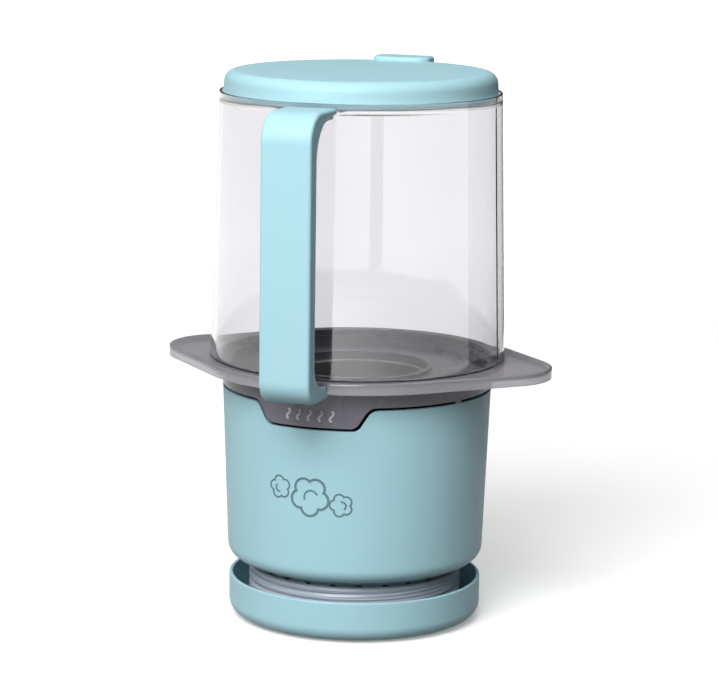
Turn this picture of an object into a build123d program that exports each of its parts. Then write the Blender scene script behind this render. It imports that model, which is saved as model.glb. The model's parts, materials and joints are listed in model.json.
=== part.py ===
"""A personal hot-air popcorn maker, built as the pieces that it comes apart into.

Millimetres, +Z up. The origin is on the table under the middle of the base. The handle and the
label shield face -Y, and the two wings of the bowl's rim point along X.
Every piece is one node, written to parts/<name>.step.
"""

import os
from math import acos, atan2, cos, degrees, radians, sin, sqrt

from build123d import *

# ---------------------------------------------------------------- driving sizes
# Base dish and its feet
foot_proud = 0.8
foot_radius = 5.5
foot_recess = 1.2
foot_pitch_radius = 44.0
foot_count = 4
foot_socket_gap = 0.1
foot_chamfer = 0.3
dish_radius = 62.6
dish_wall = 1.8
dish_floor = 2.2
dish_height = 20.0
dish_corner = 7.0
dish_rim_round = 0.6

# Mains cord: flat twin lead, wound once round the hub in stacked turns
cord_width = 7.4
cord_thickness = 3.7
cord_turn_gap = 0.1
cord_round_share = 0.45
cord_gap = 0.4
cord_turns = 3
coil_clearance = 0.1
coil_lift = 0.3
tail_lap = 14.0

# Plug, stowed behind the hub's flat, and the boot where the cord leaves the hub
plug_length = 28.0
plug_height = 17.0
plug_depth = 13.0
plug_gap = 0.6
plug_coil_gap = 3.9
plug_shelf = 6.0
boot_length = 12.0
boot_radius = 4.2
boot_root_radius = 3.9
blade_length = 15.5
blade_width = 6.3
blade_thickness = 1.5
blade_spacing = 12.7
blade_tip_share = 0.2
plug_round = 2.5
grommet_share = 0.6154
grommet_lift = 5.3
grommet_gap = 0.1
grommet_reach = 3.5
grommet_flange = 1.2
grommet_flange_depth = 1.4

# Hub that the cord winds on
hub_radius = 49.0
hub_wall = 2.0
hub_height = 26.5
hub_flat_share = 0.5
hub_post_radius = 4.2
hub_post_pitch = 38.0
hub_post_angles = (-90, 12, 168)
hub_slot_width = 3.0
hub_slot_height = 17.0
hub_slot_count = 24
hub_slot_rise = 1.5
hub_slot_margin = 4.0
hub_relief = 0.8
hub_flange = 2.0
hub_flange_bore = 33.0

# Body
body_top_radius = 66.3
body_foot_radius = 63.4
body_height = 86.5
body_corner = 7.5
body_wall = 2.2
cover_radius = 54.6
cover_thickness = 2.4
cover_gap = 0.3
shelf_width = 2.4
shelf_slope = 3.0
hub_socket_height = 7.6
hub_socket_depth = 6.0
head_recess = 0.4
grille_radius = 22.0
grille_slots = 18
grille_slot_length = 15.0
grille_slot_width = 3.0
grille_eye_radius = 8.0
grille_eye_slots = 6
grille_eye_length = 7.0
grille_eye_width = 2.6

# Collar on top of the body, with its label shield
slot_height = 1.5
collar_height = 11.3
collar_wall = 2.2
collar_deck = 2.2
collar_deck_drop = 4.4
brim_radius = 73.2
brim_thickness = 2.2
lip_height = 2.7
lip_wall = 1.9
lip_clearance = 0.4
shield_half_bottom = 22.0
shield_half_top = 28.2
shield_depth = 10.2
shield_corner = 4.0
shield_shoulder = 6.0
throat_lip = 2.0
throat_rise = 2.0
spacer_count = 8
spacer_width = 4.0
spacer_inset = 0.3
join_lap = 1.0
throat_gap = 1.2
post_screw_depth = 16.0

# Clear bowl, standing upside down on the collar
rim_wing = 98.8
rim_middle_radius = 77.5
rim_tip_radius = 28.0
rim_deck = 2.4
rim_skirt_height = 5.4
rim_skirt_wall = 2.2
rim_edge_round = 1.0
rim_web = 1.2
rim_web_lap = 2.0
bowl_mouth_radius = 72.6
bowl_end_radius = 69.0
bowl_height = 127.4
bowl_wall = 2.3
bowl_end_wall = 2.4
bowl_lip_height = 3.0
bowl_lip_wall = 1.4
bowl_lip_round = 0.5
foot_ring_radius = 60.7
foot_ring_wall = 2.2
foot_ring_height = 5.0
foot_ring_lap = 0.5

# Lid
lid_gap = 0.5
lid_radius = 67.2
lid_top_radius = 66.6
lid_height = 12.4
lid_shoulder = 5.6
lid_wall = 2.0
lid_clip_clearance = 0.3
lid_clip_wall = 1.6
lid_clip_lift = 0.6
tab_width = 30.0
tab_overhang = 4.0
tab_rise = 2.2
tab_length = 17.0
tab_thickness = 3.5
tab_corner = 7.0
tab_end_round = 5.0
tab_edge_round = 1.4

# Handle
handle_reach = 101.0
handle_width = 25.0
handle_depth = 7.5
handle_top_rise = 1.0
handle_top_round = 14.0
handle_foot_round = 11.0
handle_arm_depth = 2.5
handle_arch = 20.0
handle_cove = 12.0
hook_thickness = 2.2
hook_length = 3.6
handle_edge_round = 1.5
handle_arm_reach = 4.0
core_width = 22.0
core_depth = 2.4
handle_wall_gap = 0.1

# Popping chamber and what surrounds it
chamber_radius = 33.0
chamber_wall = 0.8
chamber_depth = 36.4
chamber_flange = 9.4
louvre_count = 14
louvre_width = 1.6
louvre_height = 9.0
louvre_lift = 4.0
louvre_slant = 25.0
louvre_cut = 4.0
seal_thickness = 0.8
shield_gap = 8.7
shield_wall = 0.6
coil_tube_radius = 2.3
coil_first_height = 8.0
coil_pitch = 8.0
coil_count = 2
mica_thickness = 0.8
mica_height = 22.0
mica_count = 6
mica_gap = 0.5
mica_ring_gap = 0.2
mica_hole_gap = 0.3
chamber_fan_gap = 2.0

# Fan and motor
fan_wall = 1.6
fan_height = 20.0
fan_inlet_radius = 24.0
fan_floor = 1.2
fan_floor_lift = 4.0
fan_inset = 1.4
fan_boss_wall = 0.8
impeller_radius = 33.0
impeller_height = 11.0
impeller_hub_radius = 5.0
impeller_plate = 1.2
impeller_blade = 1.4
impeller_blades = 9
impeller_lift = 1.2
blade_root_gap = 8.0
blade_tip_gap = 0.6
blade_lean = 35.0
blade_bow = 0.65
bracket_thickness = 2.0
bracket_disc_radius = 17.0
bracket_arm_width = 9.0
bracket_arms = 4
bracket_gap = 0.3
bracket_bush_gap = 1.0
bracket_pitch_shift = 2.0
motor_radius = 14.0
motor_length = 24.0
motor_wall = 1.0
motor_cap_height = 2.4
motor_screw_share = 0.6
rotor_low_share = 0.2
rotor_high_share = 0.8
shaft_radius = 1.5
shaft_running_gap = 0.05
bush_radius = 3.5
bush_length = 2.2
magnet_thickness = 2.6
rotor_gap = 0.8
magnet_slit = 8.0
commutator_radius = 3.4
commutator_length = 4.0
shaft_tail = 0.6

# Screws
screw_shank = 1.5
screw_head = 3.0
screw_head_height = 1.6
screw_proud = 0.4
screw_round_share = 0.4
screw_hole_gap = 0.3
screw_bite_gap = 0.05
post_radius = 4.0
post_pitch = 47.6
post_count = 4
ear_wall = 2.2
ear_gap = 0.2
small_shank = 1.2
small_head = 2.4
snug_gap = 0.02
case_screw_bite = 14.0
hub_screw_bite = 5.0
screw_tip_gap = 0.3
motor_screw_head = 2.2
motor_screw_head_height = 1.2

# Heater controls and wiring
thermostat_radius = 7.0
thermostat_depth = 5.0
thermostat_z = 100.0
thermostat_gap = 0.7
fuse_radius = 2.0
fuse_length = 12.0
fuse_gap = 0.4
fuse_turn = 22.0
fuse_chamfer = 0.5
board_width = 7.6
board_thickness = 1.6
board_lift = 2.0
board_gap = 0.4
diode_radius = 1.6
diode_length = 6.0
diode_count = 4
diode_gap = 0.1
wire_radius = 1.1
wire_bend = 3.0
wire_pass = 3.0
wire_land = 1.8
wire_land_angle = 30.0

# ---------------------------------------------------------------- levels and radii that follow
dish_base_z = foot_proud
dish_floor_z = dish_base_z + dish_floor
dish_rim_z = dish_base_z + dish_height
hub_top_z = dish_floor_z + hub_height
body_base_z = hub_top_z
body_top_z = body_base_z + body_height
cover_top_z = body_base_z + cover_thickness
collar_base_z = body_top_z + slot_height
collar_top_z = collar_base_z + collar_height
deck_top_z = collar_top_z - collar_deck_drop
deck_base_z = deck_top_z - collar_deck
rim_base_z = collar_top_z + rim_deck - rim_skirt_height
rim_top_z = collar_top_z + rim_deck
bowl_top_z = rim_top_z + bowl_height
lid_base_z = bowl_top_z + lid_gap
lid_top_z = lid_base_z + lid_height
bowl_mouth_bore = bowl_mouth_radius - bowl_wall
flange_top_z = deck_base_z - seal_thickness
flange_base_z = flange_top_z - chamber_wall
chamber_base_z = flange_top_z - chamber_depth
chamber_outer = chamber_radius + chamber_wall
heat_shield_bore = chamber_outer + shield_gap
heat_shield_outer = heat_shield_bore + shield_wall
fan_top_z = chamber_base_z - chamber_fan_gap
fan_base_z = fan_top_z - fan_height
fan_outer = heat_shield_outer - fan_inset
fan_bore = fan_outer - fan_wall
fan_floor_z = fan_base_z + fan_floor_lift
bracket_base_z = fan_base_z
bracket_top_z = bracket_base_z + bracket_thickness
motor_base_z = bracket_base_z - motor_length
motor_cap_z = motor_base_z - motor_cap_height
motor_screw_pitch = motor_radius * motor_screw_share
impeller_base_z = fan_floor_z + fan_floor + impeller_lift
impeller_top_z = impeller_base_z + impeller_height
hub_flat_y = hub_radius * hub_flat_share
coil_inner = hub_radius + coil_clearance
coil_outer = coil_inner + cord_thickness
coil_base_z = dish_floor_z + coil_lift
coil_top_z = coil_base_z + cord_turns * (cord_width + cord_turn_gap)
coil_middle = (coil_inner + coil_outer) / 2
plug_y = hub_flat_y + plug_gap + plug_depth / 2
plug_z = dish_floor_z + plug_shelf + plug_height / 2
blade_tip_x = -sqrt(coil_inner**2 - (plug_y + blade_width / 2) ** 2) + plug_coil_gap
plug_left = blade_tip_x + blade_length
plug_right = plug_left + plug_length
grommet_x = hub_radius * grommet_share
grommet_z = dish_floor_z + grommet_lift
hub_post_spots = [
    (hub_post_pitch * cos(radians(angle)), hub_post_pitch * sin(radians(angle)))
    for angle in hub_post_angles
]
tail_start_x = plug_right + boot_length
tail_radius = (coil_middle**2 - tail_start_x**2 - plug_y**2) / (2 * (coil_middle - plug_y))
tail_centre_y = plug_y - tail_radius


def band(r_in, r_out, z_low, z_high, mode=Mode.ADD):
    """A rectangle in a radius-height sketch, which a revolve turns into a ring or a disc."""
    with Locations(((r_in + r_out) / 2, (z_low + z_high) / 2)):
        Rectangle(r_out - r_in, z_high - z_low, mode=mode)


def save(piece, name):
    """Label a finished piece and write it as parts/<name>.step."""
    piece.part.label = name
    export_step(piece.part, f"parts/{name}.step")
    solids = piece.part.solids()
    print(f"{name:18s} {len(solids):3d} solids {piece.part.volume / 1000:8.2f} cm3")


def shield_outline(grow):
    """Sketch the label shield in X and Z, grown by grow, with a strip along its top edge."""
    slope = (shield_half_top - shield_half_bottom) / shield_depth
    side = grow * (sqrt(1 + slope * slope) - slope)
    foot_z = collar_base_z - shield_depth - grow
    edge_z = collar_base_z - grow
    half_foot = shield_half_bottom + side
    half_edge = shield_half_top + side
    strip_z = collar_base_z + join_lap
    right = [(half_foot, foot_z), (half_edge, edge_z), (body_top_radius, edge_z)]
    left = [(-x, z) for x, z in reversed(right)]
    with BuildSketch(Plane.XZ, mode=Mode.PRIVATE) as outline:
        Polygon(*left, *right, (body_top_radius, strip_z), (-body_top_radius, strip_z), align=None)
        fillet(outline.vertices().group_by(Axis.Y)[0], shield_corner + grow)
        shoulders = outline.vertices().filter_by(lambda v: abs(abs(v.X) - half_edge) < 0.01)
        fillet(shoulders, max(shield_shoulder - grow, 0.5))
    return outline.sketch


os.makedirs("parts", exist_ok=True)

# ---------------------------------------------------------------- base dish and feet
# A shallow round tray. Its rim hides the lower turns of the cord.
with BuildPart() as base_dish:
    with BuildSketch(Plane.XZ):
        with BuildLine():
            Polyline(
                (0, dish_base_z),
                (dish_radius, dish_base_z),
                (dish_radius, dish_rim_z),
                (dish_radius - dish_wall, dish_rim_z),
                (dish_radius - dish_wall, dish_floor_z),
                (0, dish_floor_z),
                close=True,
            )
        make_face()
    revolve(axis=Axis.Z)
    corner = base_dish.edges().filter_by(GeomType.CIRCLE)
    fillet(corner.group_by(Axis.Z)[0].sort_by(SortBy.RADIUS)[-1], dish_corner)
    inner_corner = base_dish.faces().filter_by(Plane.XY).sort_by(Axis.Z)[1]
    fillet(inner_corner.edges(), dish_corner - dish_wall)
    rim_edges = base_dish.faces().sort_by(Axis.Z)[-1].edges()
    fillet(rim_edges, dish_rim_round)
    with PolarLocations(foot_pitch_radius, foot_count, start_angle=45):
        with Locations((0, 0, dish_base_z)):
            Cylinder(
                foot_radius + foot_socket_gap,
                foot_recess,
                align=(Align.CENTER, Align.CENTER, Align.MIN),
                mode=Mode.SUBTRACT,
            )
    with BuildSketch(Plane.XY.offset(dish_base_z)):
        with Locations(*hub_post_spots):
            Circle(screw_shank + screw_hole_gap)
    extrude(amount=dish_floor, mode=Mode.SUBTRACT)
    with BuildSketch(Plane.XY.offset(dish_base_z)):
        with Locations(*hub_post_spots):
            Circle(screw_head + screw_hole_gap)
    extrude(amount=screw_head_height - screw_proud, mode=Mode.SUBTRACT)
save(base_dish, "base_dish")

# Four rubber pads, let into the underside of the dish
with BuildPart() as rubber_feet:
    with BuildSketch(Plane.XY):
        with PolarLocations(foot_pitch_radius, foot_count, start_angle=45):
            Circle(foot_radius)
    extrude(amount=foot_proud + foot_recess)
    chamfer(rubber_feet.edges().group_by(Axis.Z)[0], foot_chamfer)
save(rubber_feet, "rubber_feet")

# ---------------------------------------------------------------- cord hub
# A slotted drum with a flat at the back, where the plug is stowed on a small shelf
lead_in_radius = tail_radius - cord_thickness / 2 - cord_gap
lead_in_cut = Pos(tail_start_x, tail_centre_y) * (
    Rectangle(2 * hub_radius, 2 * hub_radius, align=(Align.MIN, Align.MIN)) - Circle(lead_in_radius)
)
with BuildPart() as cord_hub:
    with BuildSketch(Plane.XY.offset(dish_floor_z)):
        Circle(hub_radius)
        add(lead_in_cut, mode=Mode.SUBTRACT)
        with Locations((0, hub_flat_y)):
            Rectangle(
                4 * hub_radius,
                2 * hub_radius,
                align=(Align.CENTER, Align.MIN),
                mode=Mode.SUBTRACT,
            )
        offset(amount=-hub_wall, mode=Mode.SUBTRACT)
    extrude(amount=hub_height)
    with BuildSketch(Plane.XY.offset(dish_floor_z)):
        with Locations(*hub_post_spots):
            Circle(hub_post_radius)
    extrude(amount=hub_height)
    with BuildSketch(Plane.XY.offset(hub_top_z - hub_flange)):
        Circle(hub_radius - hub_wall / 2)
        add(lead_in_cut, mode=Mode.SUBTRACT)
        with Locations((0, hub_flat_y - hub_wall / 2)):
            Rectangle(
                4 * hub_radius,
                2 * hub_radius,
                align=(Align.CENTER, Align.MIN),
                mode=Mode.SUBTRACT,
            )
        Circle(hub_flange_bore, mode=Mode.SUBTRACT)
    extrude(amount=hub_flange)
    with BuildSketch(Plane.XY.offset(dish_floor_z)):
        with Locations(*hub_post_spots):
            Circle(screw_shank + screw_hole_gap)
    extrude(amount=hub_height, mode=Mode.SUBTRACT)
    slot_z = dish_floor_z + hub_height / 2 + hub_slot_rise
    for number in range(hub_slot_count):
        angle = 360 / hub_slot_count * (number + 0.5)
        if hub_radius * sin(radians(angle)) > hub_flat_y - hub_slot_margin:
            continue
        with Locations(Location((0, 0, slot_z), (0, 0, angle))):
            with Locations((hub_radius, 0, 0)):
                Box(4 * hub_wall, hub_slot_width, hub_slot_height, mode=Mode.SUBTRACT)
    with BuildSketch(Plane.XZ):
        band(
            hub_radius - hub_relief,
            hub_radius + hub_relief,
            dish_floor_z,
            dish_floor_z + hub_relief,
        )
    revolve(axis=Axis.Z, mode=Mode.SUBTRACT)
    with Locations((plug_left + plug_length / 2, hub_flat_y - hub_wall / 2, dish_floor_z)):
        Box(
            plug_length,
            plug_depth,
            plug_shelf,
            align=(Align.CENTER, Align.MIN, Align.MIN),
        )
    with Locations(Location((grommet_x, hub_flat_y, grommet_z), (90, 0, 0))):
        Cylinder(boot_root_radius + grommet_gap, 4 * hub_wall, mode=Mode.SUBTRACT)
save(cord_hub, "cord_hub")

# ---------------------------------------------------------------- cord, plug and boot
# The stowed coil is one ring of the outer shape of all its turns
with BuildPart() as cord_coil:
    with BuildSketch(Plane.XZ):
        band(coil_inner, coil_outer, coil_base_z, coil_top_z)
    revolve(axis=Axis.Z)
save(cord_coil, "cord_coil")

# The end that leaves the coil, bends round and enters the plug: one arc, tangent to the coil
tail_end_angle = degrees(atan2(tail_centre_y, tail_start_x))
tail_stop_angle = tail_end_angle + tail_lap
print("cord tail radius", round(tail_radius, 2))

with BuildPart() as cord_tail:
    with BuildLine():
        CenterArc(
            (tail_start_x, tail_centre_y, plug_z),
            tail_radius,
            90,
            tail_stop_angle - 90,
        )
    with BuildSketch(Plane((tail_start_x, plug_y, plug_z), x_dir=(0, 1, 0), z_dir=(1, 0, 0))):
        RectangleRounded(cord_thickness, cord_width, cord_thickness * cord_round_share)
    sweep()
save(cord_tail, "cord_tail")

with BuildPart() as cord_plug:
    with Locations(((plug_left + plug_right) / 2, plug_y, plug_z)):
        Box(plug_length, plug_depth, plug_height)
    fillet(cord_plug.edges().filter_by(Axis.X), plug_round)
    boot_plane = Plane((plug_right, plug_y, plug_z), z_dir=(1, 0, 0))
    with BuildSketch(boot_plane):
        Circle(boot_root_radius)
    with BuildSketch(boot_plane.offset(boot_length)):
        Circle(boot_radius)
    loft()
save(cord_plug, "cord_plug")

with BuildPart() as plug_blades:
    blade_plane = Plane((plug_left, plug_y, plug_z), x_dir=(0, 1, 0), z_dir=(-1, 0, 0))
    with BuildSketch(blade_plane):
        with GridLocations(0, blade_spacing, 1, 2):
            Rectangle(blade_width, blade_thickness)
    extrude(amount=blade_length)
    tips = plug_blades.faces().sort_by(Axis.X)[:2].edges().filter_by(Axis.Z)
    chamfer(tips, blade_width * blade_tip_share)
save(plug_blades, "plug_blades")

# Strain relief where the cord leaves the hub, its end shaped to the coil's inner face
with BuildPart() as cord_grommet:
    with BuildSketch(Plane.XZ.offset(-(hub_flat_y - grommet_reach))):
        with Locations((grommet_x, grommet_z)):
            Circle(boot_root_radius)
    extrude(amount=-hub_radius)
    with BuildSketch(Plane.XY.offset(dish_floor_z)):
        Circle(4 * hub_radius)
        Circle(coil_inner, mode=Mode.SUBTRACT)
    extrude(amount=hub_height, mode=Mode.SUBTRACT)
    with BuildSketch(Plane.XZ.offset(-(hub_flat_y - grommet_reach))):
        with Locations((grommet_x, grommet_z)):
            Circle(boot_root_radius + grommet_flange)
    extrude(amount=-grommet_flange_depth)
save(cord_grommet, "cord_grommet")

# ---------------------------------------------------------------- body
def wall_radius(z):
    """Outer radius of the drafted body wall at a height."""
    share = (z - body_base_z - body_corner) / (body_height - body_corner)
    return body_foot_radius + share * (body_top_radius - body_foot_radius)


land_radius = cover_radius + cover_gap
shelf_bore = cover_radius - shelf_width
with BuildPart() as body_shell:
    with BuildSketch(Plane.XZ):
        with BuildLine():
            Polyline(
                (land_radius, body_base_z),
                (body_foot_radius - body_corner, body_base_z),
            )
            TangentArc(
                (body_foot_radius - body_corner, body_base_z),
                (body_foot_radius, body_base_z + body_corner),
                tangent=(1, 0),
            )
            Polyline(
                (body_foot_radius, body_base_z + body_corner),
                (body_top_radius, body_top_z),
                (body_top_radius - body_wall, body_top_z),
                (body_foot_radius - body_wall, body_base_z + body_corner),
                (body_foot_radius - body_wall - shelf_slope, cover_top_z + body_wall),
                (shelf_bore, cover_top_z + body_wall),
                (shelf_bore, cover_top_z),
                (land_radius, cover_top_z),
                (land_radius, body_base_z),
            )
        make_face()
    revolve(axis=Axis.Z)
    extrude(shield_outline(slot_height), amount=2 * body_top_radius, mode=Mode.SUBTRACT)
save(body_shell, "body_shell")

# Bottom cover: intake grille in the middle, screw pads round it, hub sockets on top
with BuildPart() as bottom_cover:
    with BuildSketch(Plane.XY.offset(body_base_z)):
        Circle(cover_radius)
    extrude(amount=cover_thickness)
    with BuildSketch(Plane.XY.offset(body_base_z)):
        with PolarLocations(post_pitch, post_count, start_angle=45):
            Circle(post_radius)
        with Locations(*hub_post_spots):
            Circle(hub_post_radius)
    extrude(amount=cover_thickness + body_wall)
    with BuildSketch(Plane.XY.offset(body_base_z)):
        with Locations(*hub_post_spots):
            Circle(hub_post_radius)
    extrude(amount=cover_thickness + hub_socket_height)
    with BuildSketch(Plane.XY.offset(body_base_z)):
        with PolarLocations(post_pitch, post_count, start_angle=45):
            Circle(screw_shank + screw_hole_gap)
    extrude(amount=cover_thickness + body_wall, mode=Mode.SUBTRACT)
    with BuildSketch(Plane.XY.offset(body_base_z)):
        with PolarLocations(post_pitch, post_count, start_angle=45):
            Circle(screw_head + screw_hole_gap)
    extrude(amount=screw_head_height + head_recess, mode=Mode.SUBTRACT)
    with BuildSketch(Plane.XY.offset(body_base_z)):
        with Locations(*hub_post_spots):
            Circle(screw_shank + screw_bite_gap)
    extrude(amount=cover_thickness + hub_socket_depth, mode=Mode.SUBTRACT)
    with BuildSketch(Plane.XY.offset(body_base_z)):
        with PolarLocations(grille_radius, grille_slots):
            SlotOverall(grille_slot_length, grille_slot_width)
        with PolarLocations(grille_eye_radius, grille_eye_slots):
            SlotOverall(grille_eye_length, grille_eye_width)
    extrude(amount=cover_thickness, mode=Mode.SUBTRACT)
save(bottom_cover, "bottom_cover")

# Label shield that hangs from the collar's front, cut from a ring of the collar's own wall
with BuildPart() as label_shield:
    with BuildSketch(Plane.XY.offset(collar_base_z - shield_depth)):
        Circle(body_top_radius)
        Circle(body_top_radius - collar_wall, mode=Mode.SUBTRACT)
    extrude(amount=shield_depth + join_lap)
    extrude(shield_outline(0), amount=2 * body_top_radius, mode=Mode.INTERSECT)

# Smoke-grey collar: rim the bowl stands on, deck round the chamber's mouth, shield, screw posts
wall_bore = body_top_radius - collar_wall
lip_outer = bowl_mouth_bore - lip_clearance
throat_bore = chamber_outer + throat_gap
post_base_z = cover_top_z + body_wall
with BuildPart() as collar:
    with BuildSketch(Plane.XZ):
        band(wall_bore, body_top_radius, collar_base_z, collar_top_z)
        band(wall_bore, brim_radius, collar_top_z - brim_thickness, collar_top_z)
        band(lip_outer - lip_wall, lip_outer, collar_top_z - join_lap, collar_top_z + lip_height)
        band(throat_bore, body_top_radius - join_lap, deck_base_z, deck_top_z)
        band(throat_bore, throat_bore + throat_lip, deck_base_z, deck_top_z + throat_rise)
    revolve(axis=Axis.Z)
    with BuildSketch(Plane.XY.offset(post_base_z)):
        with PolarLocations(post_pitch, post_count, start_angle=45):
            Circle(post_radius)
    extrude(amount=deck_base_z + join_lap - post_base_z)
    with BuildSketch(Plane.XY.offset(post_base_z)):
        with PolarLocations(post_pitch, post_count, start_angle=45):
            Circle(screw_shank + screw_bite_gap)
    extrude(amount=post_screw_depth, mode=Mode.SUBTRACT)
    add(label_shield.part)
    spacer_z = body_top_z + slot_height / 2
    for number in range(spacer_count):
        angle = 360 / spacer_count * (number + 0.5) - 90
        with Locations(Location((0, 0, spacer_z), (0, 0, angle))):
            with Locations((body_top_radius - collar_wall / 2 - spacer_inset, 0, 0)):
                Box(collar_wall, spacer_width, slot_height)
save(collar, "collar")

# ---------------------------------------------------------------- bowl
# The handle's inner face, and the levels where its arm and its foot leave that face
core_y = -handle_reach + handle_depth
handle_top_z = bowl_top_z + handle_top_rise
arm_base_z = handle_top_z - handle_arm_depth
arch_z = arm_base_z - handle_arch
shelf_z = rim_top_z - rim_web
cove_z = shelf_z + handle_cove


def rim_outline(inset):
    """Centre circle, tip circles and the tangent points between them, pulled in by inset."""
    middle = rim_middle_radius - inset
    tip = rim_tip_radius - inset
    centre = rim_wing - rim_tip_radius
    turn = acos((middle - tip) / centre)
    return middle, tip, centre, turn


def rim_line(inset):
    """Draw the rim's outline: two wide arcs, two tip arcs and four straight tangents."""
    middle, tip, centre, turn = rim_outline(inset)
    near = (cos(turn), sin(turn))
    right_up = (centre + tip * near[0], tip * near[1])
    right_down = (right_up[0], -right_up[1])
    wide_up = (middle * near[0], middle * near[1])
    wide_down = (wide_up[0], -wide_up[1])
    left = [(-x, y) for x, y in (wide_up, right_up, right_down, wide_down)]
    ThreePointArc(wide_up, (0, middle), left[0])
    Line(left[0], left[1])
    ThreePointArc(left[1], (-centre - tip, 0), left[2])
    Line(left[2], left[3])
    ThreePointArc(left[3], (0, -middle), wide_down)
    Line(wide_down, right_down)
    ThreePointArc(right_down, (centre + tip, 0), right_up)
    Line(right_up, wide_up)


with BuildPart() as bowl_rim:
    with BuildSketch(Plane.XY.offset(rim_base_z)):
        with BuildLine():
            rim_line(0)
        make_face()
    extrude(amount=rim_skirt_height)
    fillet(bowl_rim.faces().sort_by(Axis.Z)[-1].edges(), rim_edge_round)
    with BuildSketch(Plane.XY.offset(rim_base_z)):
        with BuildLine():
            rim_line(rim_skirt_wall)
        make_face()
    extrude(amount=rim_skirt_height - rim_deck, mode=Mode.SUBTRACT)
    with BuildSketch(Plane.XY.offset(rim_base_z)):
        Circle(bowl_mouth_bore)
    extrude(amount=rim_skirt_height, mode=Mode.SUBTRACT)
    # Grey web that rises inside the handle's foot and carries the clear core
    web_end_y = -rim_middle_radius + rim_web_lap
    with BuildSketch(Plane.YZ.offset(-core_width / 2)):
        with BuildLine():
            TangentArc(
                (core_y + handle_cove, shelf_z),
                (core_y, cove_z),
                tangent=(-1, 0),
            )
            Line((core_y, cove_z), (core_y + core_depth, cove_z))
            TangentArc(
                (core_y + core_depth, cove_z),
                (core_y + handle_cove, shelf_z + core_depth),
                tangent=(0, -1),
            )
            Polyline(
                (core_y + handle_cove, shelf_z + core_depth),
                (web_end_y, rim_top_z),
                (web_end_y, shelf_z),
                (core_y + handle_cove, shelf_z),
            )
        make_face()
    extrude(amount=core_width)
save(bowl_rim, "bowl_rim")


def bowl_radius(z):
    """Outer radius of the drafted bowl wall at a height."""
    share = (z - rim_top_z) / bowl_height
    return bowl_mouth_radius + share * (bowl_end_radius - bowl_mouth_radius)


with BuildPart() as bowl:
    with BuildSketch(Plane.XZ):
        with BuildLine():
            end_inner = bowl_end_radius - bowl_wall
            end_inner_z = bowl_top_z - bowl_end_wall
            Polyline(
                (bowl_mouth_bore, rim_top_z),
                (bowl_mouth_radius, rim_top_z),
                (bowl_end_radius, bowl_top_z),
                (0, bowl_top_z),
                (0, end_inner_z),
                (end_inner, end_inner_z),
                (bowl_mouth_bore, rim_top_z),
            )
        make_face()
        band(
            bowl_end_radius - bowl_lip_wall,
            bowl_end_radius,
            bowl_top_z - foot_ring_lap,
            bowl_top_z + bowl_lip_height,
        )
        fillet(vertices().group_by(Axis.Y)[-1], bowl_lip_round)
    revolve(axis=Axis.Z)
    with BuildSketch(Plane.XZ):
        band(
            foot_ring_radius - foot_ring_wall,
            foot_ring_radius,
            bowl_top_z - foot_ring_lap,
            bowl_top_z + foot_ring_height,
        )
    revolve(axis=Axis.Z)
    # Clear core that lines the handle's inner side, from the wall down to the rim's grey web
    wall_y = -bowl_radius(arm_base_z) + bowl_wall / 2
    with BuildSketch(Plane.YZ.offset(-core_width / 2)):
        with BuildLine():
            Line((wall_y, arm_base_z), (core_y + handle_arch, arm_base_z))
            TangentArc(
                (core_y + handle_arch, arm_base_z),
                (core_y, arch_z),
                tangent=(-1, 0),
            )
            Polyline(
                (core_y, arch_z),
                (core_y, cove_z),
                (core_y + core_depth, cove_z),
                (core_y + core_depth, arch_z),
            )
            TangentArc(
                (core_y + core_depth, arch_z),
                (core_y + handle_arch, arm_base_z - core_depth),
                tangent=(0, 1),
            )
            Polyline(
                (core_y + handle_arch, arm_base_z - core_depth),
                (wall_y, arm_base_z - core_depth),
                (wall_y, arm_base_z),
            )
        make_face()
    extrude(amount=core_width)
save(bowl, "bowl")

# ---------------------------------------------------------------- handle
# Blue strap outside the clear core: up from under the rim, over, and in to the bowl below the lid
with BuildPart() as handle_strap:
    hook_base_z = rim_base_z - hook_thickness
    rim_front = -rim_middle_radius - handle_wall_gap
    arm_end_y = -bowl_end_radius + handle_arm_reach
    with BuildSketch(Plane.YZ.offset(-handle_width / 2)):
        with BuildLine():
            Polyline(
                (core_y + handle_arch, arm_base_z),
                (arm_end_y, arm_base_z),
                (arm_end_y, handle_top_z),
                (-handle_reach, handle_top_z),
                (-handle_reach, hook_base_z),
                (rim_front + hook_length, hook_base_z),
                (rim_front + hook_length, rim_base_z),
                (rim_front, rim_base_z),
                (rim_front, shelf_z),
                (core_y + handle_cove, shelf_z),
            )
            TangentArc(
                (core_y + handle_cove, shelf_z),
                (core_y, cove_z),
                tangent=(-1, 0),
            )
            Line((core_y, cove_z), (core_y, arch_z))
            TangentArc(
                (core_y, arch_z),
                (core_y + handle_arch, arm_base_z),
                tangent=(0, 1),
            )
        make_face()
        fillet(vertices().group_by(Axis.X)[0].sort_by(Axis.Y)[-1], handle_top_round)
        fillet(vertices().group_by(Axis.X)[0].sort_by(Axis.Y)[0], handle_foot_round)
    extrude(amount=handle_width)
    outer_edges = handle_strap.faces().sort_by(Axis.Y)[0].edges().filter_by(Axis.Z)
    fillet(outer_edges, handle_edge_round)
    with BuildSketch(Plane.XZ):
        with BuildLine():
            reach = handle_wall_gap
            Polyline(
                (0, rim_top_z),
                (bowl_mouth_radius + reach, rim_top_z),
                (bowl_end_radius + reach, bowl_top_z),
                (bowl_end_radius + reach, bowl_top_z + bowl_lip_height),
                (0, bowl_top_z + bowl_lip_height),
                close=True,
            )
        make_face()
    revolve(axis=Axis.Z, mode=Mode.SUBTRACT)
save(handle_strap, "handle_strap")

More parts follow.
